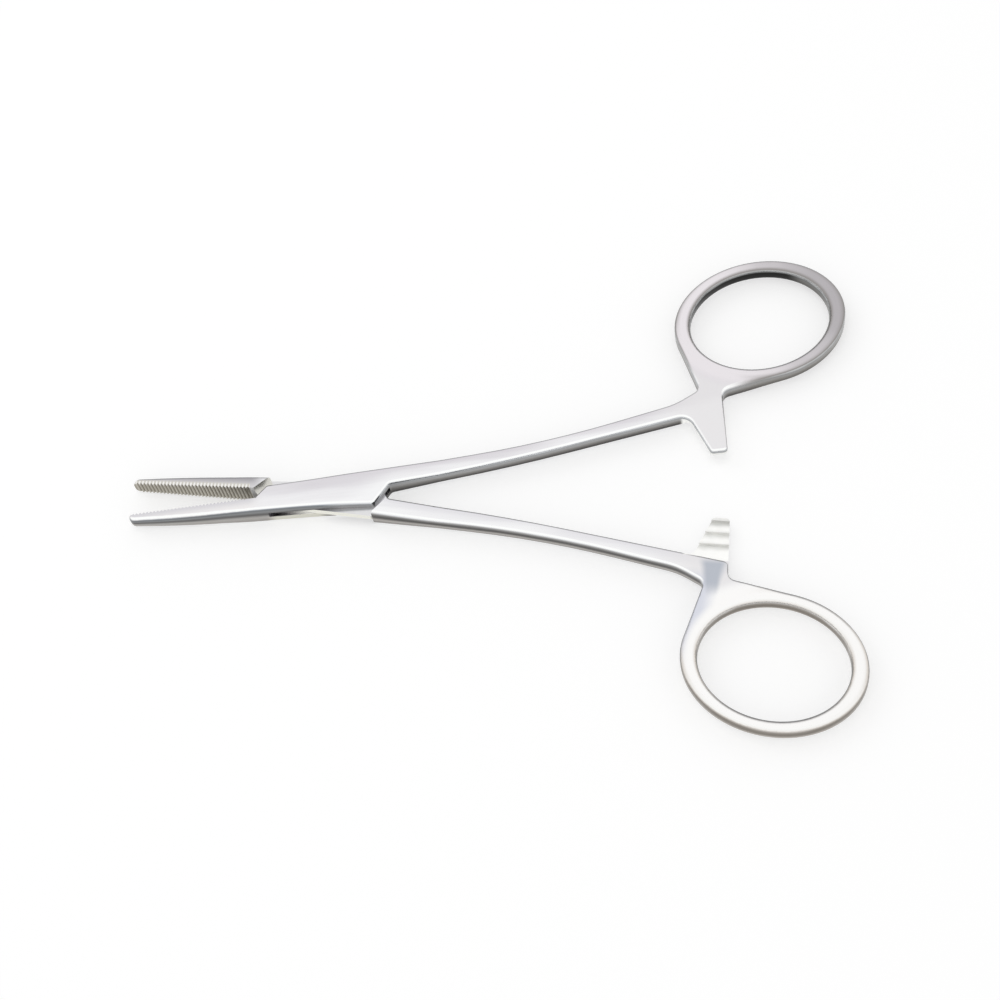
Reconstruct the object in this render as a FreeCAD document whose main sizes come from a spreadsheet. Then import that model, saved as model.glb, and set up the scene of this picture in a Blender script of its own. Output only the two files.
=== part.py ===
# Hemostat forceps with a box lock, straight pattern, 12 cm long when closed, in millimetres.
#
# Each half is drawn closed, in its own frame: origin on the pivot axis at mid-thickness, X towards the
# finger rings, Z up. The box half has its jaw on the -Y side and its ring on the +Y side, and the male
# half is its mirror image. Their Placements then open both by half of the resting angle and raise them
# so that the back of the box lies on Z = 0.

import FreeCAD, Part
import itertools
import math
import os
import Sketcher

doc = FreeCAD.newDocument("hemostat_forceps")
sheet = doc.addObject("Spreadsheet::Sheet", "Sizes")

# Stands in an outline for the outer edge of the finger ring
RING = "ring"

# How far off a place an edge may lie and still be found there
NEAR = 0.05

UP = FreeCAD.Vector(0, 0, 1)

# Groups of rounded edges, in the order that is tried first
RIMS = ("back", "front", "opening", "jaw")

SIZES = [
    ("rest_angle", 11.0, "opening of the two halves as modelled, degrees"),
    ("box_thickness", 4.4, "front to back over the box lock"),
    ("arm_thickness", 2.9, "front to back over shanks and rings"),
    ("tip_thickness", 2.6, "front to back over the jaw tips"),
    ("slot_height", 1.16, "slot between the two walls of the box"),
    ("slot_play", 0.03, "gap between the male plate and each wall"),
    ("shoulder_play", 0.08, "gap between box edges and shoulders when closed"),
    ("pin_radius", 1.1, "pivot pin"),
    ("pin_play", 0.03, "radial running clearance of the male half on the pin"),
    ("profile_front_radius", 50.0, "side profile, where jaw meets box"),
    ("profile_break", 4.5, "pivot to where the box starts to thin"),
    ("profile_run", 21.0, "pivot to where the shank reaches its thickness"),
    ("profile_back_radius", 60.0, "side profile, where box meets shank"),
    ("jaw_length", 31.1, "pivot to jaw tip"),
    ("tip_height", 1.1, "one jaw at its tip, seen from the front"),
    ("tip_round", 0.95, "corner of the jaw tip"),
    ("belly_setback", 9.5, "jaw tip to the middle of the jaw's curved back"),
    ("belly_height", 1.87, "one jaw there"),
    ("belly_radius", 200.0, "curve of the jaw's back"),
    ("nose_reach", 10.1, "pivot to the front vertex of the box"),
    ("cheek_setback", 2.3, "front vertex to the front corner of the box wall"),
    ("cheek_height", 2.27, "half width of the box at that corner"),
    ("cheek_radius", 0.8, "rounding of that corner"),
    ("waist_reach", 1.5, "pivot to the waist of the box"),
    ("waist_height", 2.6, "half width of the box at its waist"),
    ("waist_radius", 230.0, "curve of the box edge at the waist"),
    ("tail_reach", 12.4, "pivot to the crotch of the shanks"),
    ("heel_setback", 2.6, "crotch to the rear corner of the box wall"),
    ("heel_height", 3.3, "half width of the box at that corner"),
    ("tail_height", 0.16, "half gap between the shanks at the crotch"),
    ("tail_radius", 1.0, "rounding of the crotch"),
    ("inner_along", 0.345, "bend of the shank's inner edge, share of the way from crotch to hub"),
    ("inner_across", 0.237, "the same across the shank"),
    ("inner_radius", 330.0, "curve of the inner edge"),
    ("outer_along", 0.63, "bend of the shank's outer edge, share of the way from waist to flare"),
    ("outer_across", 0.342, "the same across the shank"),
    ("outer_radius", 170.0, "curve of the outer edge"),
    ("ring_reach", 75.95, "pivot to the ring centre"),
    ("ring_height", 24.1, "ring centre from the centre line"),
    ("ring_length", 23.4, "finger opening, long way"),
    ("ring_width", 19.3, "finger opening, short way"),
    ("ring_end_band", 2.65, "width of the ring at the ends of its long axis"),
    ("ring_side_band", 2.05, "width of the ring at its sides"),
    ("ring_turn", 9.0, "long axis of the ring against the centre line, degrees"),
    ("ring_roundness", 0.92, "share of the ring's half width that its edges are rounded over"),
    ("neck_setback", 11.5, "ring centre back to the outer neck between shank and ring"),
    ("neck_drop", 12.5, "ring centre down to the outer neck"),
    ("neck_radius", 1.3, "rounding of the outer neck"),
    ("flare_setback", 4.4, "outer neck back to where the shank flares"),
    ("flare_drop", 2.3, "outer neck down to the flare"),
    ("flare_radius", 12.0, "curve of the flare"),
    ("web_setback", 7.9, "ring centre back to the inner neck below the ring"),
    ("web_drop", 13.4, "ring centre down to the inner neck"),
    ("web_radius", 1.5, "rounding of the inner neck"),
    ("hub_drop", 16.3, "ring centre down to the inner corner of shank and ratchet arm"),
    ("hub_radius", 0.9, "rounding of that corner"),
    ("rim_radius", 0.6, "rounded front and back edges of shank and box"),
    ("tip_rim_radius", 0.85, "the same at the jaw tip, nearly half round"),
    ("tooth_setback", 1.0, "smooth grip face between box and serrations"),
    ("tooth_margin", 0.6, "least smooth length at the jaw tip"),
    ("tooth_pitch", 0.6, "jaw serrations"),
    ("tooth_depth", 0.3, "jaw serrations, crest to root"),
    ("tooth_play", 0.03, "gap of each half to the closed centre line"),
    ("catch_setback", 8.35, "ring centre back to the rear corner of the ratchet tip"),
    ("catch_width", 2.65, "ratchet tip, front corner to rear corner"),
    ("catch_spread", 2.95, "ratchet tip's front corner back to the front root"),
    ("catch_past", 0.65, "ratchet tip past the centre line when closed"),
    ("catch_fillet", 2.2, "rounding of the front root"),
    ("catch_round", 0.7, "corners of the ratchet tip"),
    ("catch_play", 0.06, "gap of each arm's crests to the middle plane"),
    ("catch_pitch", 2.1, "ratchet steps"),
    ("catch_depth", 0.5, "ratchet steps"),
    ("catch_count", 3, "ratchet steps"),
    ("catch_first", 0.6, "tip to the first ratchet crest"),
    ("catch_backing", 0.46, "share of the slope from hub to web that the ratchet arm takes up"),
]

DERIVED = [
    ("box_half", "=box_thickness / 2", "front face of the box from mid-thickness"),
    ("arm_half", "=arm_thickness / 2", "front face of shank and ring from mid-thickness"),
    ("tip_half", "=tip_thickness / 2", "front face of the jaw tip from mid-thickness"),
    ("profile_tip", "=jaw_length + tip_thickness", "side profile starts beyond the jaw tip"),
    ("jaw_taper", "=(box_half - tip_half) / (jaw_length - nose_reach)", "slope of the jaw's faces"),
    ("profile_tip_half", "=tip_half - jaw_taper * tip_thickness", "side profile where it starts"),
    ("profile_end", "=ring_reach + ring_length", "side profile ends beyond the ring"),
    ("belly_reach", "=jaw_length - belly_setback", "pivot to the middle of the jaw's back"),
    ("cheek_reach", "=nose_reach - cheek_setback", "pivot to the front corner of the box wall"),
    ("heel_reach", "=tail_reach - heel_setback", "pivot to the rear corner of the box wall"),
    ("neck_reach", "=ring_reach - neck_setback", "outer neck, along"),
    ("neck_height", "=ring_height - neck_drop", "outer neck, across"),
    ("flare_reach", "=neck_reach - flare_setback", "flare, along"),
    ("flare_height", "=neck_height - flare_drop", "flare, across"),
    ("outer_reach", "=waist_reach + outer_along * (flare_reach - waist_reach)", "outer bend, along"),
    ("outer_height", "=waist_height + outer_across * (flare_height - waist_height)", "outer bend, across"),
    ("web_reach", "=ring_reach - web_setback", "inner neck, along"),
    ("web_height", "=ring_height - web_drop", "inner neck, across"),
    ("catch_rear", "=ring_reach - catch_setback", "ratchet tip's rear corner, along"),
    ("catch_front", "=catch_rear - catch_width", "ratchet tip's front corner, along"),
    ("catch_root", "=catch_front - catch_spread", "ratchet arm's front root, along"),
    ("hub_height", "=ring_height - hub_drop", "hub, across"),
    ("hub_climb", "=(hub_height + catch_past) / (web_height + catch_past)", "hub's share from tip to web"),
    ("hub_reach", "=catch_rear + hub_climb * (web_reach - catch_rear)", "hub, in line with tip and web"),
    ("inner_reach", "=tail_reach + inner_along * (hub_reach - tail_reach)", "inner bend, along"),
    ("inner_height", "=tail_height + inner_across * (hub_height - tail_height)", "inner bend, across"),
    ("ring_rim_radius", "=ring_roundness * ring_side_band / 2", "rounded front and back edges of the ring"),
    ("plate_half", "=slot_height / 2 - slot_play", "face of the male plate from mid-thickness"),
    ("bore_radius", "=pin_radius + pin_play", "bore of the male plate"),
    ("tooth_start", "=nose_reach + tooth_setback", "pivot to the nearest serration"),
    ("tooth_room", "=jaw_length - tooth_margin - tooth_start", "grip face left for serrations"),
    ("tooth_crest", "=tooth_depth / 2 - tooth_play", "crests past the closed centre line"),
    ("tooth_root", "=tooth_depth / 2 + tooth_play", "roots below the closed centre line"),
    ("box_tooth_count", "=floor(tooth_room / tooth_pitch)", "serrations of the box half"),
    ("box_grip_near", "=tooth_start", "near end of the box half's serrations"),
    ("box_grip_far", "=tooth_start + box_tooth_count * tooth_pitch", "their far end"),
    ("box_groove_near", "=tooth_start", "first groove of the box half, near edge"),
    ("box_groove_root", "=tooth_start + tooth_pitch / 2", "its root"),
    ("box_groove_far", "=tooth_start + tooth_pitch", "its far edge"),
    ("male_tooth_count", "=box_tooth_count + 1", "serrations of the male half"),
    ("male_grip_near", "=box_grip_near + tooth_pitch / 2", "near end of the male half's serrations"),
    ("male_grip_far", "=box_grip_far - tooth_pitch / 2", "their far end"),
    ("male_groove_near", "=box_groove_near - tooth_pitch / 2", "first groove of the male half, near edge"),
    ("male_groove_root", "=box_groove_root - tooth_pitch / 2", "its root"),
    ("male_groove_far", "=box_groove_far - tooth_pitch / 2", "its far edge"),
    ("step_near", "=catch_first - catch_past - catch_pitch", "ratchet step before the first crest"),
    ("step_far", "=catch_first - catch_past", "first ratchet crest"),
    ("step_root", "=catch_play + catch_depth", "ratchet roots from mid-thickness"),
    ("front_run", "=(nose_reach - cheek_reach) / (cheek_height + tooth_play)", "slant of the front box edge"),
    ("rear_run", "=(tail_reach - heel_reach) / (heel_height + tail_height)", "slant of the rear box edge"),
    ("lock_reach", "=2 * heel_height", "the box lock's cuts reach past the box edges"),
    ("lock_front", "=nose_reach + shoulder_play - front_run * tooth_play", "front shoulder, centre line"),
    ("lock_front_wall", "=lock_front - front_run * lock_reach", "front shoulder, box wall side"),
    ("lock_front_jaw", "=lock_front + front_run * lock_reach", "front shoulder, jaw side"),
    ("lock_rear", "=tail_reach + shoulder_play - rear_run * tail_height", "rear shoulder, centre line"),
    ("lock_rear_shank", "=lock_rear + rear_run * lock_reach", "rear shoulder, shank side"),
    ("lock_rear_wall", "=lock_rear - rear_run * lock_reach", "rear shoulder, box wall side"),
    ("inner_slope", "=(hub_height - inner_height) / (hub_reach - inner_reach)", "rise of the inner edge"),
    ("root_height", "=hub_height - inner_slope * (hub_reach - catch_root)", "inner edge at the front root"),
    ("stock_reach", "=catch_root - 2 * catch_fillet", "near end of the arm's stock, within the shank"),
    ("stock_height", "=hub_height - inner_slope * (hub_reach - stock_reach)", "inner edge there"),
    ("stock_inside", "=stock_height + arm_half / 2", "far side of that stock"),
    ("backing_reach", "=hub_reach + catch_backing * (web_reach - hub_reach)", "far end of the arm's stock"),
    ("backing_height", "=hub_height + catch_backing * (web_height - hub_height)", "that end's height"),
]


def fill_sheet():
    rows = [(name, str(value), note) for name, value, note in SIZES] + DERIVED
    for row, (name, content, note) in enumerate(rows, start=1):
        sheet.set(f"A{row}", name)
        sheet.set(f"B{row}", content)
        sheet.set(f"C{row}", note)
        sheet.setAlias(f"B{row}", name)
    doc.recompute()


def size(name):
    """Value of a named size; a leading minus turns its sign."""
    sign = -1 if name.startswith("-") else 1
    return sign * float(sheet.get(name.lstrip("-")))


def bound(name, side=1):
    """Expression for a named size, mirrored for side -1."""
    sign = -side if name.startswith("-") else side
    return ("-" if sign < 0 else "") + "Sizes." + name.lstrip("-")


def vector(x, y):
    return FreeCAD.Vector(x, y, 0)


def plane(body, role):
    return next(item for item in body.Origin.OriginFeatures if item.Role == role)


def new_sketch(body, name, role="XY_Plane", height=None):
    sketch = body.newObject("Sketcher::SketchObject", name)
    sketch.AttachmentSupport = (plane(body, role), "")
    sketch.MapMode = "FlatFace"
    if height:
        sketch.setExpression("AttachmentOffset.Base.z", height)
    return sketch


class Rules:
    """Constraints of one sketch, added together once its geometry is in place."""

    def __init__(self, sketch):
        self.sketch = sketch
        self.constraints = []
        self.expressions = []

    def add(self, kind, *where):
        self.constraints.append(Sketcher.Constraint(kind, *where))

    def bind(self, kind, *where, value, expression):
        self.expressions.append((len(self.constraints), expression))
        self.constraints.append(Sketcher.Constraint(kind, *where, value))

    def apply(self):
        first = self.sketch.ConstraintCount
        self.sketch.addConstraint(self.constraints)
        for index, expression in self.expressions:
            self.sketch.setExpression(f"Constraints[{first + index}]", expression)


def ring_spin(side):
    return FreeCAD.Rotation(UP, side * size("ring_turn"))


def ring_centre(side):
    return vector(size("ring_reach"), side * size("ring_height"))


def ring_halves(outside):
    """Half axes of the finger opening, or of the ring's outer edge."""
    bands = (size("ring_end_band"), size("ring_side_band")) if outside else (0, 0)
    return size("ring_length") / 2 + bands[0], size("ring_width") / 2 + bands[1]


def ring_curve(side, outside):
    """Ellipse of the finger opening, or of the ring's outer edge."""
    centre = ring_centre(side)
    spin = ring_spin(side)
    long_half, short_half = ring_halves(outside)
    major = centre + spin.multVec(vector(long_half, 0))
    minor = centre + spin.multVec(vector(0, short_half))
    return Part.Ellipse(major, minor, centre)


def ring_touch(side, corner, way):
    """Angle along the ring's outer edge, and place, where the tangent from a corner touches it."""
    spin = ring_spin(side)
    long_half, short_half = ring_halves(True)
    local = spin.inverted().multVec(corner - ring_centre(side))
    flat = vector(local.x / long_half, local.y / short_half)
    angle = math.atan2(flat.y, flat.x) + side * way * math.acos(1 / flat.Length)
    touch = vector(long_half * math.cos(angle), short_half * math.sin(angle))
    return angle, ring_centre(side) + spin.multVec(touch)


def bind_ring(rules, curve, side, outside):
    """Tie the centre, axes and turn of a ring ellipse to its sizes."""
    sketch = rules.sketch
    long_axis = sketch.GeometryCount
    sketch.exposeInternalGeometry(curve)
    centre = ring_centre(side)
    rules.bind("DistanceX", -1, 1, curve, 3, value=centre.x, expression=bound("ring_reach"))
    rules.bind("DistanceY", -1, 1, curve, 3, value=centre.y, expression=bound("ring_height", side))
    for axis, half, across, band in zip((0, 1), ring_halves(outside), ("length", "width"), ("end", "side")):
        grown = f" + 2 * Sizes.ring_{band}_band" if outside else ""
        rules.bind("Distance", long_axis + axis, value=2 * half, expression=f"Sizes.ring_{across}{grown}")
    axis = sketch.Geometry[long_axis]
    heading = axis.EndPoint - axis.StartPoint
    turn = side * size("ring_turn")
    flip = 180 * round((math.degrees(math.atan2(heading.y, heading.x)) - turn) / 180)
    expression = f"({bound('ring_turn', side)} + {flip}) * 1 deg"
    rules.bind("Angle", long_axis, value=math.radians(turn + flip), expression=expression)


def arc_ends(arc, places, anticlockwise):
    """Both ends of an arc in the outline's order, each as its place and its vertex in the sketch."""
    vertices = (1, 2) if anticlockwise else (2, 1)
    return [(place, (arc, vertex)) for place, vertex in zip(places, vertices)]


def add_ring_edge(sketch, side, before, after):
    """Outer edge of the finger ring between the tangents from the corners before and after it."""
    from_angle, arrive = ring_touch(side, before, -1)
    to_angle, leave = ring_touch(side, after, 1)
    low, high = (to_angle, from_angle) if side > 0 else (from_angle, to_angle)
    high = low + (high - low) % (2 * math.pi)
    arc = sketch.addGeometry(Part.ArcOfEllipse(ring_curve(side, True), low, high))
    return arc_ends(arc, (arrive, leave), side < 0)


def add_rounding(sketch, before, corner, after, radius):
    """Arc that rounds a corner between the places before and after it."""
    back = (before - corner).normalize()
    ahead = (after - corner).normalize()
    half_angle = back.getAngle(ahead) / 2
    reach = radius / math.tan(half_angle)
    centre = corner + (back + ahead).normalize() * (radius / math.sin(half_angle))
    middle = centre + (corner - centre).normalize() * radius
    places = (corner + back * reach, corner + ahead * reach)
    anticlockwise = ahead.cross(back).z > 0
    first, last = places if anticlockwise else reversed(places)
    arc = sketch.addGeometry(Part.Arc(first, middle, last))
    return arc_ends(arc, places, anticlockwise)


def draw_outline(sketch, corners, side=1):
    """Closed outline through named corners (x, y, rounding), mirrored for side -1.

    Each straight run passes through its two corners and touches the arcs that round them. RING in
    place of a corner is the outer edge of the finger ring, touched by the runs on either side of it.
    """
    places = []
    for corner in corners:
        places.append(None if corner is RING else vector(size(corner[0]), side * size(corner[1])))
    ends = [[(place, None), (place, None)] for place in places]
    for index, corner in enumerate(corners):
        if corner is RING:
            ends[index] = add_ring_edge(sketch, side, places[index - 1], places[index + 1])
    aims = [[place for place, vertex in pair] for pair in ends]
    for index, corner in enumerate(corners):
        if corner is RING or not corner[2]:
            continue
        before = aims[index - 1][1]
        after = aims[(index + 1) % len(aims)][0]
        ends[index] = add_rounding(sketch, before, places[index], after, size(corner[2]))

    runs = []
    for index, pair in enumerate(ends):
        following = ends[(index + 1) % len(ends)]
        runs.append(sketch.addGeometry(Part.LineSegment(pair[1][0], following[0][0])))

    rules = Rules(sketch)
    for index, corner in enumerate(corners):
        before = runs[index - 1]
        after = runs[index]
        entry, leave = (vertex for place, vertex in ends[index])
        if entry:
            rules.add("Tangent", before, 2, *entry)
            rules.add("Tangent", after, 1, *leave)
        else:
            rules.add("Coincident", before, 2, after, 1)
        if corner is RING:
            bind_ring(rules, entry[0], side, True)
            continue
        place = places[index]
        anchor = after
        if corner[2]:
            anchor = sketch.addGeometry(Part.Point(place), True)
            rules.add("PointOnObject", anchor, 1, before)
            rules.add("PointOnObject", anchor, 1, after)
            rules.bind("Radius", entry[0], value=size(corner[2]), expression=bound(corner[2]))
        rules.bind("DistanceX", -1, 1, anchor, 1, value=place.x, expression=bound(corner[0]))
        rules.bind("DistanceY", -1, 1, anchor, 1, value=place.y, expression=bound(corner[1], side))
    rules.apply()


def draw_circle(sketch, radius):
    rules = Rules(sketch)
    circle = sketch.addGeometry(Part.Circle(vector(0, 0), UP, size(radius)))
    rules.add("Coincident", circle, 3, -1, 1)
    rules.bind("Radius", circle, value=size(radius), expression=bound(radius))
    rules.apply()


def pad(body, sketch, name, length, midplane=False, reverse=False):
    feature = body.newObject("PartDesign::Pad", name)
    feature.Profile = sketch
    feature.Midplane = midplane
    feature.Reversed = reverse
    feature.setExpression("Length", length)
    doc.recompute()
    return feature


def pocket(body, sketch, name, length=None, midplane=False, reverse=False):
    """Cut along the sketch's normal, right through unless a length is given."""
    before = body.Shape.Volume
    feature = body.newObject("PartDesign::Pocket", name)
    feature.Profile = sketch
    feature.Midplane = midplane
    feature.Reversed = reverse
    if length:
        feature.setExpression("Length", length)
    else:
        feature.Type = "ThroughAll"
    doc.recompute()
    if not body.Shape.Volume < before:
        raise RuntimeError(f"{name} cuts nothing")
    return feature


def repeat(body, feature, name, axis, spacing, count, reverse):
    pattern = body.newObject("PartDesign::LinearPattern", name)
    pattern.Originals = [feature]
    pattern.Direction = (plane(body, axis), [""])
    pattern.Reversed = reverse
    pattern.Mode = "Spacing"
    pattern.setExpression("Offset", spacing)
    pattern.setExpression("Occurrences", count)
    body.Tip = pattern
    doc.recompute()


def rim_group(point, side):
    """Which rounding the edge through this point belongs to, or None where it stays sharp."""
    across = side * point.y
    if abs(point.z) < size("tip_half") - NEAR:
        return None
    if (vector(point.x, point.y) - ring_centre(side)).Length < ring_halves(False)[0] + NEAR:
        return "opening"
    if point.x < size("heel_reach") and across < -size("tooth_play") - NEAR:
        return "jaw"
    if point.x < -size("nose_reach") + NEAR and across < size("tooth_crest") + NEAR:
        return None
    return "front" if point.z > 0 else "back"


def rim_edges(shape, group, side):
    """Numbers of the edges of one group between the upright walls and the front and back faces."""
    numbers = set()
    for face in shape.Faces:
        first_u, last_u, first_v, last_v = face.ParameterRange
        normals = [face.normalAt(u, v) for u in (first_u, last_u) for v in (first_v, last_v)]
        if any(abs(normal.z) > NEAR for normal in normals):
            continue
        for edge in face.Edges:
            halfway = (edge.FirstParameter + edge.LastParameter) / 2
            upright = abs(edge.tangentAt(halfway).z) > 1 - NEAR
            if not upright and rim_group(edge.valueAt(halfway), side) == group:
                numbers.add(next(n for n, other in enumerate(shape.Edges, start=1) if other.isSame(edge)))
    return sorted(numbers)


def on_ring(point, side):
    """Whether a rim point lies on the finger opening or on the ring's outer edge."""
    local = ring_spin(side).inverted().multVec(vector(point.x, point.y) - ring_centre(side))
    for outside in (False, True):
        long_half, short_half = ring_halves(outside)
        if abs(math.hypot(local.x / long_half, local.y / short_half) - 1) < NEAR / long_half:
            return True
    return False


def rim_radius(point, side):
    """Rounding of the rim there: fuller round the ring, and finer along the jaw towards its tip."""
    if on_ring(point, side):
        return size("ring_rim_radius")
    share = (size("jaw_length") + point.x) / (size("jaw_length") - size("nose_reach"))
    return size("tip_rim_radius") + min(share, 1) * (size("rim_radius") - size("tip_rim_radius"))


def add_rim(base, name, group, side):
    """Rounding of one group of edges, each with a radius that runs from one end's to the other's."""
    rim = doc.addObject("Part::Fillet", name)
    rim.Base = base
    rounded = []
    for number in rim_edges(base.Shape, group, side):
        edge = base.Shape.getElement(f"Edge{number}")
        ends = [edge.valueAt(parameter) for parameter in (edge.FirstParameter, edge.LastParameter)]
        rounded.append((number, *[rim_radius(end, side) for end in ends]))
    rim.Edges = rounded
    doc.recompute()
    return rim


def round_rims(blank, label, side):
    """Front and back edges rounded group by group, in the first order in which every group closes."""
    for order in itertools.permutations(RIMS):
        rims = [blank]
        for group in order:
            rims.append(add_rim(rims[-1], f"{label}_{group}_rim", group, side))
            if rims[-1].Shape.isNull() or not rims[-1].Shape.isValid():
                break
        else:
            return rims[-1]
        for rim in reversed(rims[1:]):
            doc.removeObject(rim.Name)
    raise ValueError(f"the edges of {label} can't be rounded")


def cut_side_profile(body, label, name, way):
    """Thin the blank in front of (way 1) or behind (way -1) the half, as seen from the side."""
    profile = new_sketch(body, f"{label}_{name}_profile", "XZ_Plane")
    draw_outline(profile, [
        ("-profile_tip", "profile_tip_half", None),
        ("-nose_reach", "box_half", "profile_front_radius"),
        ("profile_break", "box_half", "profile_back_radius"),
        ("profile_run", "arm_half", "profile_back_radius"),
        ("profile_end", "arm_half", None),
        ("profile_end", "box_thickness", None),
        ("-profile_tip", "box_thickness", None),
    ], way)
    pocket(body, profile, f"{label}_{name}_taper", midplane=True)


def draw_lock(sketch, side):
    """Plan of the box lock's inside: it ends at the box edges, plus the play, on both sides."""
    draw_outline(sketch, [
        ("-lock_front_jaw", "-lock_reach", None),
        ("-lock_front_wall", "lock_reach", None),
        ("lock_rear_shank", "lock_reach", None),
        ("lock_rear_wall", "-lock_reach", None),
    ], side)


def add_catch(body, label, side):
    """Ratchet arm in the front half of the thickness of the box half, and in the back of the other."""
    level = bound("catch_play", side)
    arm = new_sketch(body, label + "_catch_outline", height=level)
    draw_outline(arm, [
        ("stock_reach", "stock_height", None),
        ("catch_root", "root_height", "catch_fillet"),
        ("catch_front", "-catch_past", "catch_round"),
        ("catch_rear", "-catch_past", "catch_round"),
        ("backing_reach", "backing_height", None),
        ("stock_reach", "stock_inside", None),
    ], side)
    pad(body, arm, label + "_catch", "Sizes.arm_half - Sizes.catch_play", reverse=side < 0)


def cut_catch_steps(body, label, side):
    near, far = ("step_near", "step_far") if side > 0 else ("-step_near", "-step_far")
    steps = new_sketch(body, label + "_catch_step", "YZ_Plane", bound("stock_reach"))
    draw_outline(steps, [
        (near, "step_root", None),
        (far, "catch_play", None),
        (far, "-catch_play", None),
        (near, "-catch_play", None),
    ], side)
    cut = pocket(body, steps, label + "_catch_cut", reverse=True)
    count = "Sizes.catch_count + 1"
    repeat(body, cut, label + "_catch_steps", "Y_Axis", "Sizes.catch_pitch", count, side < 0)


def cut_serrations(body, label, kind, side):
    groove = new_sketch(body, label + "_groove")
    draw_outline(groove, [
        (f"-{kind}_groove_near", "tooth_crest", None),
        (f"-{kind}_groove_root", "-tooth_root", None),
        (f"-{kind}_groove_far", "tooth_crest", None),
        (f"-{kind}_groove_far", "tooth_depth", None),
        (f"-{kind}_groove_near", "tooth_depth", None),
    ], side)
    cut = pocket(body, groove, label + "_groove_cut", midplane=True)
    count = f"Sizes.{kind}_tooth_count"
    repeat(body, cut, label + "_serrations", "X_Axis", "Sizes.tooth_pitch", count, True)


def make_blank(label, kind, side):
    """Plate in the half's outline, thinned towards jaw and shank, with its finger hole and ratchet arm."""
    body = doc.addObject("PartDesign::Body", label + "_blank")
    outline = new_sketch(body, label + "_outline")
    draw_outline(outline, [
        ("-jaw_length", "-tooth_play", None),
        (f"-{kind}_grip_far", "-tooth_play", None),
        (f"-{kind}_grip_far", "tooth_crest", None),
        (f"-{kind}_grip_near", "tooth_crest", None),
        (f"-{kind}_grip_near", "-tooth_play", None),
        ("-nose_reach", "-tooth_play", None),
        ("-cheek_reach", "cheek_height", "cheek_radius"),
        ("waist_reach", "waist_height", "waist_radius"),
        ("outer_reach", "outer_height", "outer_radius"),
        ("flare_reach", "flare_height", "flare_radius"),
        ("neck_reach", "neck_height", "neck_radius"),
        RING,
        ("web_reach", "web_height", "web_radius"),
        ("hub_reach", "hub_height", "hub_radius"),
        ("inner_reach", "inner_height", "inner_radius"),
        ("tail_reach", "tail_height", "tail_radius"),
        ("heel_reach", "-heel_height", None),
        ("waist_reach", "-waist_height", "waist_radius"),
        ("-belly_reach", "-belly_height", "belly_radius"),
        ("-jaw_length", "-tip_height", "tip_round"),
    ], side)
    pad(body, outline, label + "_plate", bound("box_thickness"), midplane=True)
    cut_side_profile(body, label, "front", 1)
    cut_side_profile(body, label, "back", -1)

    opening = new_sketch(body, label + "_finger_opening")
    rules = Rules(opening)
    bind_ring(rules, opening.addGeometry(ring_curve(side, False)), side, False)
    rules.apply()
    pocket(body, opening, label + "_finger_hole", midplane=True)

    add_catch(body, label, side)
    return body


def make_half(kind, side):
    """One half: side 1 for the box half, side -1 for the male half."""
    label = kind + "_half"
    rounded = round_rims(make_blank(label, kind, side), label, side)
    body = doc.addObject("PartDesign::Body", label)
    body.BaseFeature = rounded
    doc.recompute()
    cut_catch_steps(body, label, side)
    cut_serrations(body, label, kind, side)
    return body


def cut_bore(body, radius):
    bore = new_sketch(body, body.Label + "_bore_outline")
    draw_circle(bore, radius)
    pocket(body, bore, body.Label + "_bore", midplane=True)


def make_box_half():
    """Root half: two walls with a slot between them for the male plate, and the pin pressed in."""
    body = make_half("box", 1)
    slot = new_sketch(body, "box_half_slot_outline")
    draw_lock(slot, -1)
    pocket(body, slot, "box_half_slot", bound("slot_height"), midplane=True)
    cut_bore(body, "pin_radius")
    return body


def make_male_half():
    """Moving half: cut down on both faces to the plate that passes through the box."""
    body = make_half("male", -1)
    for name, way in (("front", 1), ("back", -1)):
        shoulders = new_sketch(body, f"male_half_{name}_shoulders", height=bound("plate_half", way))
        draw_lock(shoulders, 1)
        pocket(body, shoulders, f"male_half_{name}_plate", reverse=way > 0)
    cut_bore(body, "bore_radius")
    return body


def make_pin():
    body = doc.addObject("PartDesign::Body", "pivot_pin")
    outline = new_sketch(body, "pivot_pin_outline")
    draw_circle(outline, "pin_radius")
    pad(body, outline, "pivot_pin_shaft", bound("box_thickness"), midplane=True)
    return body


fill_sheet()
box_half = make_box_half()
male_half = make_male_half()
pivot_pin = make_pin()
parts = (box_half, male_half, pivot_pin)

for body, share in zip(parts, (0.5, -0.5, 0)):
    body.Placement.Rotation = FreeCAD.Rotation(UP, 1)
    body.setExpression("Placement.Base.z", bound("box_half"))
    body.setExpression("Placement.Rotation.Angle", f"{share} * Sizes.rest_angle * 1 deg")
doc.recompute()

for item in doc.Objects:
    if "Invalid" in item.State or "Error" in item.State:
        raise RuntimeError(f"{item.Name} failed: {item.State}")
for body in parts:
    if body.Shape.isNull() or not body.Shape.isValid() or len(body.Shape.Solids) != 1:
        raise RuntimeError(f"{body.Label} has no single valid solid")

os.makedirs("parts", exist_ok=True)
for body in parts:
    body.Shape.exportStep(f"parts/{body.Label}.step")
    print(body.Label, round(body.Shape.Volume, 2), body.Shape.BoundBox)
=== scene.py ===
import math

import bpy
from mathutils import Matrix, Vector

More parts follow.
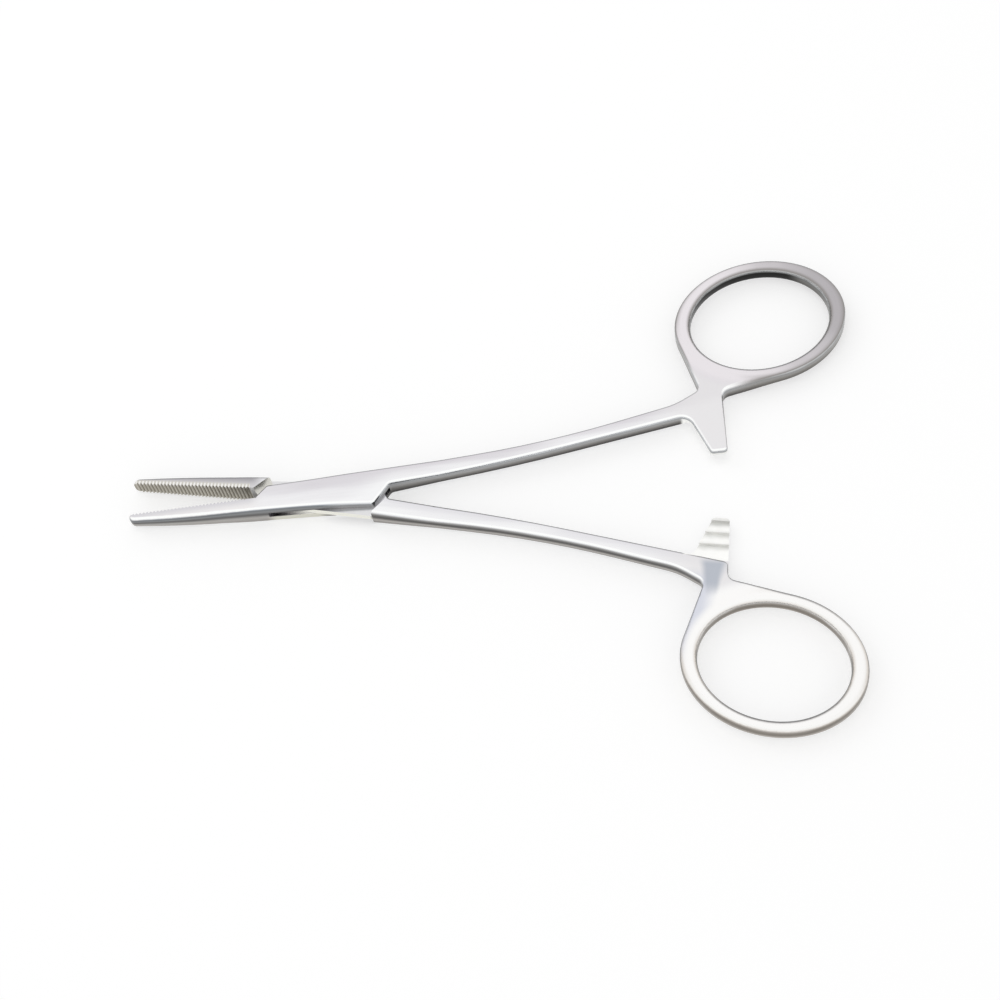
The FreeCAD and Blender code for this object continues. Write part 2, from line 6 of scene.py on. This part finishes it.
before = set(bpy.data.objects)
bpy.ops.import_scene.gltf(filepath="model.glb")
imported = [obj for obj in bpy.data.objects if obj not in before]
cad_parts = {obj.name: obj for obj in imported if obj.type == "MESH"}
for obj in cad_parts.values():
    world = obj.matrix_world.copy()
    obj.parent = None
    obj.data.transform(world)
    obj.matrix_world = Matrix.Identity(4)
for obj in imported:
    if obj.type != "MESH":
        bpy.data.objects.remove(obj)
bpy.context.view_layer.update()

# Hemostat forceps of polished and satin stainless steel, lying a little open on a pale table. The three
# solids of the frame are shown as they are: this script smooths their shading, gives each one its steel, and
# adds the table, the soft light and the camera. Lengths are in metres outside the steel, and in millimetres
# inside it. A pair of numbers is the span over which one look fades into another.
# The steel's colour is painted with the reflections, highlights and shade that it shows.

print("frame loaded:", ", ".join(sorted(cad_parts)))


def colour(red, green, blue):
    return (red, green, blue, 1.0)


class Wire:
    # One value inside a shader. Python's own signs add Math nodes, also with a plain number first.
    def __init__(self, shader, socket):
        self.shader = shader
        self.socket = socket

    def __add__(self, other):
        return self.shader.calculate("ADD", self, other)

    def __sub__(self, other):
        return self.shader.calculate("SUBTRACT", self, other)

    def __rsub__(self, other):
        return self.shader.calculate("SUBTRACT", other, self)

    def __mul__(self, other):
        return self.shader.calculate("MULTIPLY", self, other)

    def __truediv__(self, other):
        return self.shader.calculate("DIVIDE", self, other)

    def __pow__(self, other):
        return self.shader.calculate("POWER", self, other)

    def __abs__(self):
        return self.shader.calculate("ABSOLUTE", self)

    __radd__ = __add__
    __rmul__ = __mul__

    def least(self, other):
        return self.shader.calculate("MINIMUM", self, other)

    def most(self, other):
        return self.shader.calculate("MAXIMUM", self, other)

    def wave(self, pitch):  # 1 at every whole pitch, 0 half way between
        return self.shader.calculate("COSINE", self * (2 * math.pi / pitch)) * 0.5 + 0.5

    def rise(self, span):  # 0 below the span, 1 above it, an even curve between
        limits = {"Value": self, "From Min": span[0], "From Max": span[1]}
        return self.shader.add("MapRange", {"interpolation_type": "SMOOTHSTEP"}, limits)

    def fall(self, span):
        return 1 - self.rise(span)


class Shader:
    # The node tree of a material or a world. node() makes any node: its settings come first, then the
    # values or links of its sockets, by name or in their order. It gives back the outputs by name.
    def __init__(self, owner):
        owner.use_nodes = True
        self.tree = owner.node_tree
        self.tree.nodes.clear()

    def node(self, kind, settings, inputs):
        node = self.tree.nodes.new("ShaderNode" + kind)
        for name, value in settings.items():
            if name == "stops":
                self.setStops(node.color_ramp.elements, value)
            else:
                setattr(node, name, value)
        if isinstance(inputs, dict):
            filled = [socket for socket in node.inputs if socket.enabled and socket.name in inputs]
            inputs = [inputs[socket.name] for socket in filled]
        else:
            filled = node.inputs
        for socket, value in zip(filled, inputs):
            if isinstance(value, Wire):
                self.tree.links.new(value.socket, socket)
            else:
                socket.default_value = value
        return {socket.name: Wire(self, socket) for socket in node.outputs if socket.enabled}

    def setStops(self, elements, stops):
        # Each stop is its place, a grey, and how far that leans to warm, or to blue below 0.
        while len(elements) < len(stops):
            elements.new(1.0)
        for element, (position, grey, warmth) in zip(elements, stops):
            element.position = position
            element.color = colour(grey * (1 + warmth), grey, grey * (1 - warmth))

    def add(self, kind, settings, inputs):  # the node's first output
        return next(iter(self.node(kind, settings, inputs).values()))

    def calculate(self, operation, *values):
        return self.add("Math", {"operation": operation}, values)

    def mix(self, share, first, second):  # colours, the first one where share is 0
        return self.add("Mix", {"data_type": "RGBA"}, {"Factor": share, "A": first, "B": second})

    def sight(self):  # 1 for what the camera sees, also mirrored or through glass
        rays = self.node("LightPath", {}, {})
        return rays["Is Camera Ray"].most(rays["Is Glossy Ray"]).most(rays["Is Transmission Ray"])


formMm = {
    "tip": 31.1,                  # from the pivot to the jaw tips
    "nose": 10.1,                 # to the front end of the box
    "boxEnd": 4.5,                # to where the thickness begins to fall behind the box
    "armStart": 21.0,             # and to where it has fallen
    "boxHalf": 2.2,               # half of the thickness of the box,
    "tipHalf": 1.3,               # of the jaw tips
    "armHalf": 1.45,              # and of the shanks
    "armBlend": (-9.0, 0.0),      # the shank's thickness counts from here on
    "jawBlend": (8.0, 11.0),      # box into jaw
    "shankBlend": (4.0, 14.0),    # box into shank, for the middle of the face
    "widthBlend": (5.0, 14.0),    # and for its width
    "shankStart": 15.0,           # the shank's middle line, a parabola from here:
    "shankMiddle": 1.92,          # across at its start,
    "shankLean": 0.066,           # its slope there
    "shankBow": 0.00152,          # and its bow
    "jawMiddle": 0.95,            # the jaw's middle line lies this far from the axis
    "boxFace": 2.9,               # half widths of the faces of the box,
    "shankFace": 1.3,             # the shanks
    "jawFace": 1.0,               # and the jaws
    "ringAlong": 75.95,           # centre of the ring
    "ringAcross": 24.1,
    "ringTurn": 9.0,              # degrees
    "openLength": 11.7,           # half length and half width of its opening
    "openWidth": 9.65,
    "ringBlend": (1.22, 1.45),    # shares of that opening over which the ring becomes the hub
    "hubBlend": (54.0, 64.0),     # shank into hub
}

grainLook = {
    "cloudScale": 0.14,           # patches of tone, per millimetre
    "streakScale": (0.045, 0.5, 0.5),
    "grainScale": (0.25, 9.0, 9.0),   # polishing lines, fine across the arm and long along it
    "speckScale": 0.9,
    "detail": 2.0,                # of the noises,
    "grainDetail": 3.0,           # and of the polishing lines
    "depth": 0.06,                # strength of the lines in relief
    "height": 0.00002,            # and their height in metres
    "onRoughness": 0.12,          # what they add to the roughness
    "cloudsOnRoughness": 0.08,
    "faceRoughness": 0.2,
    "wallRoughness": 0.24,
    "mattRoughness": 0.45,
    "flat": (0.5, 0.94),          # how far up a surface faces, wall into face
}

faceLook = {
    "fade": (-1.2, 1.2),          # painted light: far edge into brighter near edge of a face
    # the same painted light across a jaw's face
    "jawFade": (-1.1, 0.9),
    "streaks": 2.4,               # how far the streaks push that fade
    # an even, greyer tone on the hub's faces, over most of that painted light
    "hub": colour(0.79, 0.775, 0.785),
    "hubShare": 0.85,
    "shadeAlong": 70.0,            # painted shade darkens the ring from here, this far along
    "shadeAcross": 18.0,           # and across,
    "shadeSlant": 0.2,             # at this slant,
    "shadeClouds": 10.0,           # pushed this far by the clouds,
    "shadeSpan": (0.0, 21.0),      # over this length
    "bandMiddle": 1.105,          # middle of the ring's band, as a share of its opening
    "bandFade": (0.025, 0.11),    # from there to its edges, darkened by painted shade
    "bandFromHub": (-17.0, -11.0),    # those begin away from the hub
    "roundFade": (0.0, 0.32),     # the same where the band's surface turns away
    "roundShare": 0.9,
}

blueReflectionLook = {
    "tone": colour(0.47, 0.50, 0.56),     # painted bluish reflection on the male half's hub
    "share": 0.95,
    "along": 65.7,                # its middle line,
    "halfWidth": 2.5,             # its half width at its wide end
    "wideEnd": 7.6,               # which lies here across,
    "taper": 0.24,                # and how fast it narrows
    "clouds": 0.4,
    "edge": (0.45, 1.15),
    "start": (7.2, 8.6),
    "end": (11.5, 14.6),
    "besideTone": colour(0.66, 0.68, 0.76),   # paler painted blue reflection beside it, down to the ring
    "besideShare": 0.9,
    "besideOval": (1.1, 1.24),
    "besideStart": (9.0, 12.0),
    "besideEnd": (21.0, 27.0),
    "besideAlong": (64.0, 67.0),
}

wallLook = {
    "side": colour(0.15, 0.15, 0.145),        # painted shade on walls that don't face the near side
    "away": colour(0.17, 0.17, 0.18),         # painted shade on rounded edges that face away
    "glint": colour(0.99, 1.0, 0.99),         # rounded edges that face the near side
    "dark": colour(0.018, 0.018, 0.017),      # painted deep shade on the inner wall of the box half's ring
    "nearSpan": (-0.15, 0.3),     # how far a wall faces the near side
    "awaySpan": (0.12, 0.75),
    "upright": (0.42, 0.74),      # how far up a surface faces, wall into rounded edge
    "streakShift": 0.16,          # how far long streaks shift a wall's bands, share of its depth
    "jawIntoShank": (1.0, 5.0),
    "warmShare": 0.3,             # share of the ring's warm tone in its painted wall reflections
    "insideOval": (1.05, 1.12),   # inner wall of the ring
    "insideNear": (-0.1, 0.35),
    "insideShift": 0.1,
    "darkDepth": (0.02, 0.22),
    "darkEnd": (81.5, 84.5),      # the painted shade on the inner wall pales from here along
    "darkLoss": 0.55,
    "glintStart": (0.6, 0.76),    # how far up the bright edges face
    "glintEnd": (0.93, 0.99),
    "glintNear": (0.05, 0.4),
}

gripLook = {
    # painted shade in the grooves and painted light on the crests of the teeth
    "groove": colour(0.34, 0.315, 0.27),
    "crest": colour(0.64, 0.615, 0.55),
    "tick": colour(0.92, 0.91, 0.88),         # tooth ends that catch the light
    "start": 11.1,                # the first tooth of the box half
    "pitch": 0.6,
    "jaw": (10.7, 11.0),          # the grip starts here
    "floor": (-0.24, -0.2),       # and is this deep
    "wall": (0.5, 0.9),
    "tipSpan": (20.0, 31.0),      # the crests' painted light fades towards the tip
    "tipLoss": 0.35,
    "tickHeight": (0.72, 0.9),    # share of the half thickness
    "tickShare": 0.65,
    "rimSpan": (-0.95, -0.6),     # the teeth's painted light and shade also show on the rounded edge above them
    "rimCrest": 0.8,
    "rimShare": 0.9,
    "rimTickSpan": (-0.62, -0.5),
    "rimTickCrest": (0.35, 0.65),
    "rimTickShare": 0.8,
}

lockLook = {
    "shoulder": colour(0.96, 0.95, 0.87),     # painted highlight on the slanted shoulders of the male half
    "plateDeep": colour(0.05, 0.045, 0.04),   # painted shade on its plate, deep in the slot
    "plateFace": colour(0.74, 0.735, 0.745),  # and where its face shows
    "lip": colour(0.76, 0.75, 0.66),          # painted pale reflection on the box's wall below the slot
    "plateHeight": (0.57, 0.6),   # half of the plate's thickness
    "plateReach": (9.6, 10.2),    # and how far it goes from the pivot
    "plateUp": (0.5, 0.9),
    "plateShare": 0.9,
    "slotFade": (-6.5, 0.0),      # painted shade: the slot is dark at its front end
    "shoulderNear": (0.25, 0.5),
    "shoulderStart": (6.0, 6.5),
    "shoulderEnd": (13.5, 14.0),
    "shoulderUp": (0.6, 0.9),
    "shoulderShare": 0.95,
    "lipStart": (-2.0, 0.0),
    "lipEnd": (6.5, 8.5),
    "lipDepth": (0.56, 0.66),
    "lipUp": (0.5, 0.9),
    "lipNear": (0.0, 0.4),
    "lipShare": 0.8,
}

catchLook = {
    "crest": colour(1.0, 1.0, 0.98),          # ratchet steps, blasted matt, with painted light and shade in bands across them
    "dip": colour(0.78, 0.78, 0.76),
    "front": (60.6, 61.2),        # the arm's front and rear flanks
    "rear": (69.0, 69.4),
    "root": (6.9, 7.3),
    "floor": (-0.77, -0.67),      # matt from the steps to this far past the arm's middle
    "pitch": 2.1,
    "phase": 0.35,                # where across the first dip lies
    "dipEnd": (5.0, 6.5),
    "dipShare": 0.6,
    "tipEnd": (0.3, 1.4),         # painted shade makes the arm's tip greyer
    "tipShare": 0.5,
    "specks": 0.6,
}

# The two tones of a face lie along its far and near edges: painted light, brighter at the near edge. The
# stops run
# down a wall from the front face: the share of its depth, a grey and its warmth, as painted reflections and
# shade.
halfLook = {
    "box_half": {
        "far": colour(0.68, 0.655, 0.69), "near": colour(0.91, 0.91, 0.92),
        "jawFar": colour(0.66, 0.65, 0.68), "jawNear": colour(0.87, 0.85, 0.85),
        "ringBright": colour(0.81, 0.775, 0.80), "ringFarShade": colour(0.46, 0.44, 0.455),
        "ringShade": colour(0.27, 0.255, 0.245), "ringWarmth": colour(0.2, 0.185, 0.16),
        "bandShade": 0.55, "ringGlint": 0.0, "jawGlint": 1.0, "darkInside": 1.0,
        "stops": [(0.0, 0.88, -0.02), (0.08, 0.74, -0.03), (0.14, 0.5, -0.03), (0.2, 0.34, -0.02),
                  (0.32, 0.38, 0.0), (0.45, 0.27, 0.03), (0.6, 0.15, 0.05), (0.78, 0.05, 0.05),
                  (1.0, 0.03, 0.05)],
        "jawStops": [(0.0, 0.92, -0.04), (0.06, 0.84, -0.05), (0.1, 0.33, -0.08), (0.16, 0.19, -0.05),
                     (0.25, 0.25, -0.03), (0.33, 0.15, 0.0), (0.42, 0.11, 0.03), (0.5, 0.26, 0.03),
                     (0.62, 0.42, 0.04), (0.78, 0.36, 0.05), (1.0, 0.22, 0.05)],
    },
    "male_half": {
        "far": colour(0.76, 0.75, 0.78), "near": colour(0.93, 0.93, 0.935),
        "jawFar": colour(0.36, 0.35, 0.37), "jawNear": colour(0.66, 0.645, 0.66),
        "ringBright": colour(0.96, 0.95, 0.94), "ringFarShade": colour(0.95, 0.94, 0.93),
        "ringShade": colour(0.66, 0.61, 0.56), "ringWarmth": colour(0.42, 0.35, 0.27),
        "bandShade": 0.3, "ringGlint": 0.6, "jawGlint": 0.0, "darkInside": 0.0,
        "stops": [(0.0, 0.92, -0.02), (0.08, 0.76, -0.02), (0.13, 0.44, 0.0), (0.2, 0.24, 0.02),
                  (0.31, 0.11, 0.03), (0.42, 0.055, 0.05), (0.53, 0.18, 0.05), (0.64, 0.42, 0.05),
                  (0.77, 0.31, 0.05), (1.0, 0.2, 0.05)],
        "jawStops": [(0.0, 0.92, -0.02), (0.2, 0.5, 0.0), (0.5, 0.25, 0.03), (1.0, 0.2, 0.05)],
    },
}


class Steel(Shader):
    # The steel of one half. turn is its own angle at rest in degrees, and side is 1 if its ring is towards
    # +Y and -1 if it isn't. "Near" means towards -Y, the side from which the table is seen.
    def __init__(self, name, half, turn, side):
        self.material = bpy.data.materials.new(name)
        super().__init__(self.material)
        self.own = halfLook[half]
        self.side = side
        self.measurePlace(turn)
        self.measureDepth()
        self.measureRing()
        self.scatterGrain()

    def measurePlace(self, turn):
        coords = self.node("TexCoord", {}, {})
        turned = {
            "Vector": coords["Object"],
            "Rotation": (0, 0, math.radians(-turn)),
            "Scale": (1000, 1000, 1000),      # metres into millimetres
        }
        self.spot = self.add("Mapping", {"vector_type": "POINT"}, turned)
        place = self.node("SeparateXYZ", {}, {"Vector": self.spot})
        normal = self.node("SeparateXYZ", {}, {"Vector": coords["Normal"]})
        self.along = place["X"]               # from the pivot towards the rings
        self.reach = self.along * -1          # and towards the jaws
        self.across = place["Y"] * self.side  # towards the half's own ring
        self.height = place["Z"] - formMm["boxHalf"]
        self.endwise = normal["X"]
        self.nearby = normal["Y"] * -1        # 1 for a wall that faces the near side
        self.up = abs(normal["Z"])
        self.isJaw = self.reach.rise(formMm["jawBlend"])
        # across its face: -1 at the far edge, 1 at the near one
        past = self.along - formMm["shankStart"]
        shank = formMm["shankMiddle"] + past * formMm["shankLean"] + past ** 2.0 * formMm["shankBow"]
        middle = shank * self.along.rise(formMm["shankBlend"]) - self.isJaw * formMm["jawMiddle"]
        slimmer = self.along.rise(formMm["widthBlend"]) * (formMm["boxFace"] - formMm["shankFace"])
        halfWidth = formMm["boxFace"] - slimmer - self.isJaw * (formMm["boxFace"] - formMm["jawFace"])
        self.onFace = (middle - self.across) * self.side / halfWidth

    def measureDepth(self):
        # Depth below the front face: 0 at the front, 1 at the back. The thickness is the side profile's.
        box = formMm["boxHalf"]
        jawSlope = (box - formMm["tipHalf"]) / (formMm["tip"] - formMm["nose"])
        armSlope = (box - formMm["armHalf"]) / (formMm["armStart"] - formMm["boxEnd"])
        jaw = box - (self.reach - formMm["nose"]) * jawSlope
        arm = box - (self.along - formMm["boxEnd"]) * armSlope
        shankHalf = formMm["armHalf"] * self.along.rise(formMm["armBlend"])
        self.halfThick = jaw.least(arm).least(box).most(shankHalf)
        self.depth = (self.halfThick - self.height) / (self.halfThick * 2)

    def measureRing(self):
        # oval is 1 on the edge of the ring's opening, and grows outwards as the opening would.
        angle = math.radians(formMm["ringTurn"])
        fromX = self.along - formMm["ringAlong"]
        fromY = self.across - formMm["ringAcross"]
        lengthwise = (fromX * math.cos(angle) + fromY * math.sin(angle)) / formMm["openLength"]
        widthwise = (fromY * math.cos(angle) - fromX * math.sin(angle)) / formMm["openWidth"]
        self.oval = (lengthwise ** 2.0 + widthwise ** 2.0) ** 0.5
        self.fromHub = fromX + fromY
        self.onRing = self.oval.fall(formMm["ringBlend"])
        self.aboutHub = self.along.rise(formMm["hubBlend"]) * (1 - self.onRing)

    def scatterGrain(self):
        look = grainLook

        def noise(place, scale, detail):
            return self.add("TexNoise", {}, {"Vector": place, "Scale": scale, "Detail": detail})

        def stretched(scale):
            return self.add("Mapping", {}, {"Vector": self.spot, "Scale": scale})

        self.clouds = noise(self.spot, look["cloudScale"], look["detail"]) - 0.5
        self.streaks = noise(stretched(look["streakScale"]), 1.0, look["detail"]) - 0.5
        self.grain = noise(stretched(look["grainScale"]), 1.0, look["grainDetail"])
        self.specks = noise(self.spot, look["speckScale"], look["detail"]) - 0.5

    def makeFaces(self):
        look = faceLook
        own = self.own
        # painted light: each face, and each jaw's face, grows brighter towards its near edge
        fade = (self.onFace + self.streaks * look["streaks"]).rise(look["fade"])
        tone = self.mix(fade, own["far"], own["near"])
        jawTone = self.mix(self.onFace.rise(look["jawFade"]), own["jawFar"], own["jawNear"])
        tone = self.mix(self.isJaw, tone, jawTone)
        tone = self.mix(self.aboutHub * look["hubShare"], tone, look["hub"])
        return self.mix(self.onRing, tone, self.makeBand())

    def makeBand(self):  # the ring's band: painted shade darkens it towards its far end and at its edges
        look = faceLook
        slant = (self.across - look["shadeAcross"]) * look["shadeSlant"] + self.clouds * look["shadeClouds"]
        farShade = (self.along - look["shadeAlong"] + slant).rise(look["shadeSpan"])
        tone = self.mix(farShade, self.own["ringBright"], self.own["ringFarShade"])
        edge = abs(self.oval - look["bandMiddle"]).rise(look["bandFade"])
        edge = edge * self.fromHub.rise(look["bandFromHub"])
        tone = self.mix(edge * self.own["bandShade"], tone, self.own["ringShade"])
        turned = (1 - self.up).rise(look["roundFade"]) * look["roundShare"]
        return self.mix(turned, tone, self.own["ringShade"])

    def addBlueReflection(self, tone):
        # a painted blue-grey reflection on the male half's hub, and a paler blue one beside it
        look = blueReflectionLook
        beside = self.oval.rise(look["besideOval"]) * self.along.fall(look["besideAlong"])
        beside = beside * self.across.rise(look["besideStart"]) * self.across.fall(look["besideEnd"])
        tone = self.mix(beside * look["besideShare"], tone, look["besideTone"])
        halfWidth = look["halfWidth"] - (self.across - look["wideEnd"]) * look["taper"]
        patch = abs(self.along - look["along"]) / halfWidth + self.clouds * look["clouds"]
        patch = patch.fall(look["edge"]) * self.across.rise(look["start"]) * self.across.fall(look["end"])
        return self.mix(patch * look["share"], tone, look["tone"])

    def makeWalls(self):
        # painted reflections and shade in bands down each wall
        look = wallLook
        own = self.own
        inside = self.onRing * self.oval.fall(look["insideOval"]) * self.nearby.rise(look["insideNear"])
        depth = self.depth + self.streaks * look["streakShift"] - inside * look["insideShift"]
        jawTone = self.add("ValToRGB", {"stops": own["jawStops"]}, {"Fac": depth})
        shankTone = self.add("ValToRGB", {"stops": own["stops"]}, {"Fac": depth})
        tone = self.mix(self.along.rise(look["jawIntoShank"]), jawTone, shankTone)
        tone = self.mix(self.onRing * look["warmShare"], tone, own["ringWarmth"])
        # painted deep shade on the box half's ring's inner wall, paler further along
        pale = 1 - self.along.rise(look["darkEnd"]) * look["darkLoss"]
        shade = inside * depth.rise(look["darkDepth"]) * pale * own["darkInside"]
        tone = self.mix(shade, tone, look["dark"])
        # painted shade on walls that don't face the near side
        return self.mix(self.nearby.rise(look["nearSpan"]), look["side"], tone)

    def joinEdges(self, faces, walls):  # faces into walls over the rounded edges, with painted shade on edges that face away and a painted highlight on those that face the near side
        look = wallLook
        tone = self.mix((self.nearby * -1).rise(look["awaySpan"]), faces, look["away"])
        glint = self.up.rise(look["glintStart"]) * self.up.fall(look["glintEnd"])
        glint = glint * self.nearby.rise(look["glintNear"])
        glint = glint * (1 - self.onRing * (1 - self.own["ringGlint"]))
        glint = glint * (1 - self.isJaw * (1 - self.own["jawGlint"]))
        tone = self.mix(glint, tone, look["glint"])
        return self.mix(self.up.fall(look["upright"]), tone, walls)

    def addGrip(self, tone):  # painted light on the crest and painted shade in the groove of each tooth
        look = gripLook
        halfStep = look["pitch"] / 2 if self.side < 0 else 0  # the two grips mesh
        crest = (self.reach - look["start"] - halfStep).wave(look["pitch"])
        jaw = self.reach.rise(look["jaw"])
        self.grip = jaw * self.across.rise(look["floor"]) * self.up.fall(look["wall"])
        bright = crest * (1 - self.reach.rise(look["tipSpan"]) * look["tipLoss"])
        teeth = self.mix(bright, look["groove"], look["crest"])
        ticks = (self.height / self.halfThick).rise(look["tickHeight"]) * crest * look["tickShare"]
        tone = self.mix(self.grip, tone, self.mix(ticks, teeth, look["tick"]))
        if self.side > 0:
            return tone
        rim = jaw * self.up.rise(look["wall"])
        rimTone = self.mix(crest * look["rimCrest"], look["crest"], self.own["jawNear"])
        tone = self.mix(rim * self.across.rise(look["rimSpan"]) * look["rimShare"], tone, rimTone)
        ticks = rim * self.across.rise(look["rimTickSpan"]) * crest.rise(look["rimTickCrest"])
        return self.mix(ticks * look["rimTickShare"], tone, look["tick"])

    def addPlate(self, tone):  # the male half's plate inside the box with painted shade in the slot, and a painted highlight on its slanted shoulders
        look = lockLook
        plate = abs(self.height).fall(look["plateHeight"]) * abs(self.along).fall(look["plateReach"])
        plateTone = self.mix(self.along.rise(look["slotFade"]), look["plateDeep"], look["shoulder"])
        plateTone = self.mix(self.up.rise(look["plateUp"]), plateTone, look["plateFace"])
        tone = self.mix(plate * look["plateShare"], tone, plateTone)
        shoulder = self.reach.rise(look["shoulderStart"]) * self.reach.fall(look["shoulderEnd"])
        shoulder = shoulder * self.endwise.rise(look["shoulderNear"]) * self.up.fall(look["shoulderUp"])
        return self.mix(shoulder * (1 - self.grip) * look["shoulderShare"], tone, look["shoulder"])

    def addSlotLip(self, tone):
        # painted pale warm reflection over the wall's bands below the slot
        look = lockLook
        lip = self.reach.rise(look["lipStart"]) * self.reach.fall(look["lipEnd"])
        lip = lip * self.depth.rise(look["lipDepth"]) * self.up.fall(look["lipUp"])
        lip = lip * self.nearby.rise(look["lipNear"])
        return self.mix(lip * look["lipShare"], tone, look["lip"])

    def addCatch(self, tone):  # ratchet steps, on the side that faces the other arm, with painted light and shade in their bands
        look = catchLook
        arm = self.along.rise(look["front"]) * self.along.fall(look["rear"]) * self.across.fall(look["root"])
        self.catch = arm * (self.height * -self.side).rise(look["floor"])
        dips = (self.across - look["phase"]).wave(look["pitch"]) * self.across.fall(look["dipEnd"])
        grey = dips * look["dipShare"] + self.across.fall(look["tipEnd"]) * look["tipShare"]
        steps = self.mix(grey + self.specks * look["specks"], look["crest"], look["dip"])
        return self.mix(self.catch, tone, steps)

    def finish(self, tone):
        look = grainLook
        flat = self.up.rise(look["flat"])
        roughness = flat * look["faceRoughness"] + (1 - flat) * look["wallRoughness"]
        roughness = roughness + (self.grain - 0.5) * look["onRoughness"]
        roughness = roughness + self.clouds * look["cloudsOnRoughness"]
        matt = self.grip.most(self.catch)
        roughness = roughness * (1 - matt) + matt * look["mattRoughness"]
        relief = {"Height": self.grain, "Strength": look["depth"], "Distance": look["height"]}
        surface = self.add("BsdfPrincipled", {}, {
            "Base Color": tone,
            "Metallic": 1.0,
            "Roughness": roughness,
            "Normal": self.add("Bump", {}, relief),
        })
        self.node("OutputMaterial", {}, {"Surface": surface})
        return self.material


def makeSteel(name, half, turn, side):
    steel = Steel(name, half, turn, side)
    faces = steel.makeFaces()
    if side < 0:
        faces = steel.addBlueReflection(faces)
    tone = steel.addGrip(steel.joinEdges(faces, steel.makeWalls()))
    tone = steel.addPlate(tone) if side < 0 else steel.addSlotLip(tone)
    return steel.finish(steel.addCatch(tone))


halfTurn = 5.5  # degrees between each half's own axis and the centre line, as the forceps lie
solids = {
    "box_half": makeSteel("box_half_steel", "box_half", halfTurn, 1),
    "male_half": makeSteel("male_half_steel", "male_half", -halfTurn, -1),
    "pivot_pin": makeSteel("pin_steel", "box_half", halfTurn, 1),  # polished together with the box
}
shading = {"weld": 1e-6, "sharpDegrees": 28.0}


def dressSolid(name, material):
    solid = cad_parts[name]
    solid.data.materials.clear()
    solid.data.materials.append(material)
    solid.data.polygons.foreach_set("use_smooth", [True] * len(solid.data.polygons))
    weld = solid.modifiers.new("weld", "WELD")
    weld.merge_threshold = shading["weld"]
    split = solid.modifiers.new("sharpEdges", "EDGE_SPLIT")
    split.split_angle = math.radians(shading["sharpDegrees"])
    split.use_edge_sharp = False
    solid.modifiers.new("flatFaces", "WEIGHTED_NORMAL")
    print(name, "has its steel")


for name, material in solids.items():
    dressSolid(name, material)

table = {
    "size": 6.0,
    "drop": 0.00005,                      # gap below the steel
    "colour": colour(0.62, 0.62, 0.62),
    "lift": 0.5,                          # light of its own, which keeps it white away from the shadow
}


def makeTable():
    # A flat square about the origin.
    half = table["size"] / 2
    corners = [(-half, -half), (half, -half), (half, half), (-half, half)]
    mesh = bpy.data.meshes.new("table")
    mesh.from_pydata([(x, y, -table["drop"]) for x, y in corners], [], [(0, 1, 2, 3)])
    floor = bpy.data.objects.new("table", mesh)
    bpy.context.scene.collection.objects.link(floor)
    material = bpy.data.materials.new("table_paint")
    paint = Shader(material)
    matt = paint.add("BsdfDiffuse", {}, {"Color": table["colour"]})
    glow = paint.add("Emission", {}, {"Color": colour(1, 1, 1), "Strength": paint.sight() * table["lift"]})
    paint.node("OutputMaterial", {}, {"Surface": paint.add("AddShader", {}, [matt, glow])})
    mesh.materials.append(material)


makeTable()
print("table made")

light = {
    "skyFill": 0.6,                       # the world's light on the steel and the table
    "aim": (0.025, 0, 0),
    "lamps": {                            # place, size and power
        "overhead": ((0.025, 0, 0.8), 0.5, 1.2),
        "side": ((-0.5, 0.35, 0.6), 0.5, 0.5),
    },
}


def makeWorld():
    # White to the eye and to the steel that mirrors it, dimmer as a light.
    world = bpy.data.worlds.new("studio")
    bpy.context.scene.world = world
    studio = Shader(world)
    strength = studio.sight() * (1 - light["skyFill"]) + light["skyFill"]
    sky = studio.add("Background", {}, {"Color": colour(1, 1, 1), "Strength": strength})
    studio.node("OutputWorld", {}, {"Surface": sky})


def addLamp(name, place, size, power):
    lamp = bpy.data.lights.new(name, "AREA")
    lamp.shape = "SQUARE"
    lamp.size = size
    lamp.energy = power
    holder = bpy.data.objects.new(name, lamp)
    bpy.context.scene.collection.objects.link(holder)
    holder.location = place
    aim = Vector(light["aim"]) - Vector(place)
    holder.rotation_euler = aim.to_track_quat("-Z", "Y").to_euler()
    holder.visible_glossy = False         # the steel mirrors the white world only


makeWorld()
for name, (place, size, power) in light["lamps"].items():
    addLamp(name, place, size, power)
print("light made")

view = {
    "tilt": -29.248,                      # the table's turn about the picture's horizontal, degrees
    "yaw": -7.629,                        # about its vertical
    "roll": -2.102,                       # about the line of sight
    "across": -0.030228,                  # the pivot from the middle of the picture, metres at the pivot
    "up": 0.000382,
    "distance": 0.312557,
    "pivotHeight": 0.0022,
    "lens": 68.54,
    "sensor": 36.0,
}


def makeCamera():
    data = bpy.data.cameras.new("camera")
    data.lens = view["lens"]
    data.sensor_width = view["sensor"]
    camera = bpy.data.objects.new("camera", data)
    bpy.context.scene.collection.objects.link(camera)
    roll, tilt, yaw = [Matrix.Rotation(math.radians(view[name]), 3, axis)
                       for name, axis in (("roll", "Z"), ("tilt", "X"), ("yaw", "Y"))]
    back = (roll @ tilt @ yaw).transposed()
    shift = Vector((view["across"], view["up"], -view["distance"]))
    pivot = Vector((0, 0, view["pivotHeight"]))
    camera.matrix_world = Matrix.Translation(pivot - back @ shift) @ back.to_4x4()
    bpy.context.scene.camera = camera


makeCamera()
bpy.context.scene.view_settings.view_transform = "Standard"
print("camera made")
